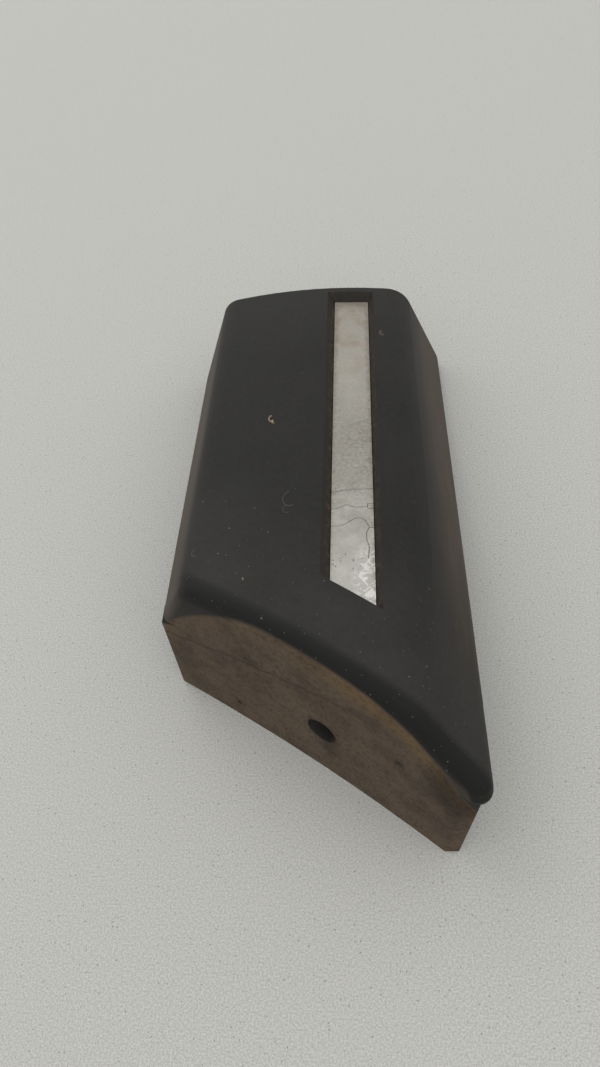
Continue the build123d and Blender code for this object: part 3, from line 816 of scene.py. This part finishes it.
def creased_foil():
    """The foil sheet: a grid trimmed to the insert's outline, laid on it, creased and cracked."""
    length = insert_far - insert_near + foil_spare_length
    width = insert_right - insert_left
    deselect_all()
    bpy.ops.mesh.primitive_grid_add(x_subdivisions=int(width * foil_cells_per_mm),
                                    y_subdivisions=int(length * foil_cells_per_mm),
                                    size=1.0, location=(0.0, 0.0, 0.0))
    sheet = bpy.context.view_layer.objects.active
    middle = Vector((insert_middle, insert_far - 0.5 * length, 0.0))
    settle(sheet, Matrix.Translation(middle) @ Matrix.Diagonal((width, length, 1.0, 1.0)))

    bpy.ops.object.mode_set(mode="EDIT")
    bpy.ops.mesh.select_all(action="SELECT")
    bpy.ops.mesh.bisect(plane_co=(insert_left, insert_near, 0.0), plane_no=wall_normal,
                        clear_outer=True)
    bpy.ops.object.mode_set(mode="OBJECT")

    settle(sheet, TO_FRAME @ Matrix.Translation((0.0, 0.0, foil_top + foil_start_above)))
    down = frame["nodes"]["insert_foil"]
    down.hide_viewport = False
    apply_modifier(sheet, "lay", "SHRINKWRAP", target=down, wrap_method="NEAREST_SURFACEPOINT")
    settle(sheet, TO_FRAME.inverted())
    for vertex in sheet.data.vertices:
        vertex.co.z += foil_gap
    for size, depth in foil_creases:
        texture = bpy.data.textures.new("foil_creases", "CLOUDS")
        texture.noise_scale = size
        texture.noise_depth = 1
        apply_modifier(sheet, "creases", "DISPLACE", texture=texture, texture_coords="LOCAL",
                       direction="Z", strength=depth, mid_level=0.5)
    apply_modifier(sheet, "thickness", "SOLIDIFY", thickness=foil_thickness, offset=-1.0)
    top = max(vertex.co.z for vertex in sheet.data.vertices)
    for points in foil_cracks:
        blade = crack_blade(points)
        settle(blade, Matrix.Translation((0.0, 0.0, top)))
        apply_modifier(sheet, "crack", "BOOLEAN", object=blade, operation="DIFFERENCE", solver="EXACT")
        bpy.data.objects.remove(blade)
    settle(sheet, TO_FRAME)
    return sheet


# --------------------------------------------------------------------------------------------------
# Foam pieces: the same places as their solids, with rounded edges and a pressed, uneven surface
# --------------------------------------------------------------------------------------------------

foam_voxel = 0.00040
foam_unevenness = 0.00025
foam_lump = 0.0022
foam_lump_step = 0.0002
weld_distance = 0.000005


def soft_copy(node, rounding, seed):
    """A rounded and slightly lumpy copy of a foam solid, inside the space that the solid holds."""
    source = frame["nodes"][node]
    made = source.copy()
    made.data = source.data.copy()
    made.parent = None
    for key in list(made.keys()):
        del made[key]
    bpy.context.scene.collection.objects.link(made)
    make_active(made)
    bpy.ops.object.mode_set(mode="EDIT")
    bpy.ops.mesh.select_all(action="SELECT")
    bpy.ops.mesh.remove_doubles(threshold=weld_distance)
    bpy.ops.mesh.normals_make_consistent(inside=False)
    bpy.ops.mesh.dissolve_limited(angle_limit=math.radians(4.0))
    bpy.ops.object.mode_set(mode="OBJECT")
    apply_modifier(made, "rounded", "BEVEL", width=rounding, segments=3, limit_method="ANGLE",
                   angle_limit=math.radians(40.0))
    apply_modifier(made, "voxels", "REMESH", mode="VOXEL", voxel_size=foam_voxel)
    texture = bpy.data.textures.new("foam_lumps", "CLOUDS")
    texture.noise_scale = foam_lump + foam_lump_step * seed
    apply_modifier(made, "lumps", "DISPLACE", texture=texture, texture_coords="LOCAL",
                   strength=foam_unevenness, mid_level=1.0)
    make_active(made)
    bpy.ops.object.shade_smooth()
    return made


# --------------------------------------------------------------------------------------------------
# The floor, the light and the camera
# --------------------------------------------------------------------------------------------------

floor_size = 30.0
camera_place = placed(7.35, -128.0, 170.8)
camera_forward = Vector((-0.12098, 0.5463, -0.8288)).normalized()
camera_right = Vector((0.99159, 0.02786, -0.12638))
sensor_height = 24.0
lens_length = 18.219

# the lights: name, place, width in metres, power in watts and tint
light_target = (0.0, 0.0, 0.02)
lights = [
    ("window_light", (-0.55, 0.75, 1.05), 1.0, 2.8, (1.0, 1.0, 1.0)),
    ("room_light", (0.7, -0.2, 1.3), 1.4, 2.2, (1.0, 0.99, 0.97)),
]
sky = colour(1.0, 0.995, 0.985)
sky_strength = 0.79


def pale_floor():
    deselect_all()
    bpy.ops.mesh.primitive_plane_add(size=floor_size, location=(0.0, 0.0, 0.0))
    floor = bpy.context.view_layer.objects.active
    floor.name = "floor"
    made = bpy.data.materials.new("pale_floor")
    made.use_nodes = True
    wiring = Wiring(made.node_tree)
    shader = made.node_tree.nodes["Principled BSDF"]
    coordinates = wiring.add("ShaderNodeTexCoord").outputs["Object"]
    broad = wiring.noise(coordinates, 9.0, detail=3.0)
    fine = wiring.noise(coordinates, 2600.0, detail=2.0, roughness=0.8)
    tone = wiring.mix(wiring.rise(fine, 0.36, 0.64), colour(0.46, 0.46, 0.435),
                      colour(0.63, 0.63, 0.605))
    tone = wiring.mix(wiring.times(wiring.rise(broad, 0.3, 0.7), 0.10), tone,
                      colour(0.50, 0.50, 0.475))
    specks = wiring.group(GRAINS, place=coordinates, cell=0.0010, grain=0.17, share=0.55)["Mask"]
    tone = wiring.mix(wiring.times(specks, 0.75), tone, colour(0.20, 0.20, 0.19))
    wiring.feed(shader.inputs["Base Color"], tone)
    shader.inputs["Roughness"].default_value = 0.6
    shader.inputs["Specular IOR Level"].default_value = 0.2
    floor.data.materials.append(made)


def soft_light(name, place, width, power, tint):
    data = bpy.data.lights.new(name, "AREA")
    data.shape = "DISK"
    data.size = width
    data.energy = power
    data.color = tint
    lamp = bpy.data.objects.new(name, data)
    lamp.location = place
    aim = Vector(light_target) - Vector(place)
    lamp.rotation_euler = aim.to_track_quat("-Z", "Y").to_euler()
    bpy.context.scene.collection.objects.link(lamp)


def studio_light():
    for light in lights:
        soft_light(*light)
    world = bpy.data.worlds.new("studio_world")
    world.use_nodes = True
    background = world.node_tree.nodes["Background"]
    background.inputs["Color"].default_value = sky
    background.inputs["Strength"].default_value = sky_strength
    bpy.context.scene.world = world
    bpy.context.scene.view_settings.view_transform = "Standard"


def stand_camera():
    data = bpy.data.cameras.new("camera")
    data.sensor_fit = "VERTICAL"
    data.sensor_height = sensor_height
    data.lens = lens_length
    data.clip_start = 0.01
    data.clip_end = 20.0
    camera = bpy.data.objects.new("camera", data)
    back = -camera_forward
    right = (camera_right - camera_right.dot(back) * back).normalized()
    up = back.cross(right)
    turn = Matrix((right, up, back)).transposed()
    camera.matrix_world = Matrix.Translation(camera_place) @ turn.to_4x4()
    bpy.context.scene.collection.objects.link(camera)
    bpy.context.scene.camera = camera


# --------------------------------------------------------------------------------------------------
# The object
# --------------------------------------------------------------------------------------------------

def give_material(node, material):
    """A CAD node keeps its shape and takes a new finish."""
    thing = frame["nodes"][node]
    if not thing.data.materials:
        thing.data.materials.append(material)
    for number in range(len(thing.data.materials)):
        thing.data.materials[number] = material


def finish_object():
    give_material("moulding_shell", weathered_rubber())
    give_material("insert_carrier", moulded_plastic(
        "carrier_plastic", grey(0.030), grey(0.018), roughness=0.45, specular=0.4))
    give_material("insert_adhesive", acrylic_tape())
    give_material("backing_plate", steel(
        "primed_steel", colour(0.075, 0.075, 0.07), colour(0.045, 0.045, 0.042),
        rust=0.55, metallic=0.25, roughness=0.48))
    give_material("end_bracket", steel(
        "zinc_steel", colour(0.50, 0.49, 0.45), colour(0.33, 0.32, 0.28),
        rust=0.42, metallic=0.85, roughness=0.36))
    give_material("plate_screws", steel(
        "yellow_zinc", colour(0.52, 0.44, 0.24), colour(0.36, 0.29, 0.15),
        rust=0.35, metallic=0.85, roughness=0.33))
    give_material("bracket_rivets", steel(
        "dull_rivet", colour(0.48, 0.48, 0.47), colour(0.33, 0.33, 0.32),
        rust=0.25, metallic=0.85, roughness=0.38))
    nylon = moulded_plastic("natural_nylon", colour(0.62, 0.59, 0.49), colour(0.50, 0.46, 0.36),
                            roughness=0.42, specular=0.5)
    for node in ("stud_clip_near", "stud_clip_middle", "stud_clip_far"):
        give_material(node, nylon)

    finish_piece(creased_foil(), "creased_foil", aged_foil(), ["insert_foil"])

    seal = foam("seal_foam", colour(0.020, 0.020, 0.021), colour(0.008, 0.008, 0.008), 0.30)
    pad = foam("pad_foam", colour(0.055, 0.055, 0.058), colour(0.020, 0.020, 0.021), 0.40)
    soft_pieces = [
        ("clip_seal_near", seal, "seal_foam", 0.0004), ("clip_seal_middle", seal, "seal_foam", 0.0004),
        ("clip_seal_far", seal, "seal_foam", 0.0004), ("anti_rattle_pad_left", pad, "pad_foam", 0.0008),
        ("anti_rattle_pad_right", pad, "pad_foam", 0.0008)]
    for seed, (node, material, slot, rounding) in enumerate(soft_pieces):
        piece = soft_copy(node, rounding, seed)
        finish_piece(piece, node + "_foam", material, [node])


stand_camera()
finish_object()
pale_floor()
studio_light()
